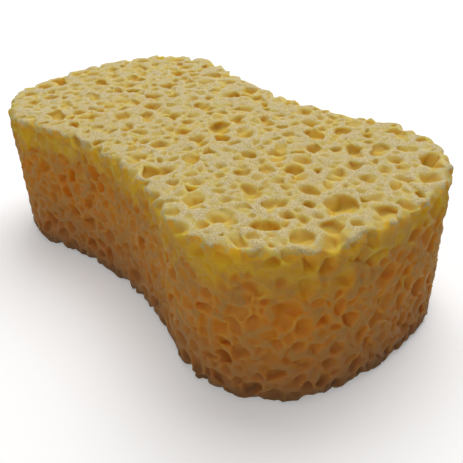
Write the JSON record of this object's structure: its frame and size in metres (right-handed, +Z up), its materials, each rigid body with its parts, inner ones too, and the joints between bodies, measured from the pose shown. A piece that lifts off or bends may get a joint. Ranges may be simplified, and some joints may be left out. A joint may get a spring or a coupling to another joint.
{
  "type": "cleaning sponge",
  "caption": "Bone-shaped block of open-pored cellulose foam with a narrow waist for the hand, for washing and wiping.",
  "frame": {"origin": "centre of the underside", "axes": "+X along the length, +Y across the width, +Z up through the height"},
  "size_m": [0.19, 0.104, 0.058],
  "materials": {
    "cellulose_foam": "matte"
  },
  "bodies": {
    "root": {"sponge": "cellulose_foam"}
  },
  "joints": []
}
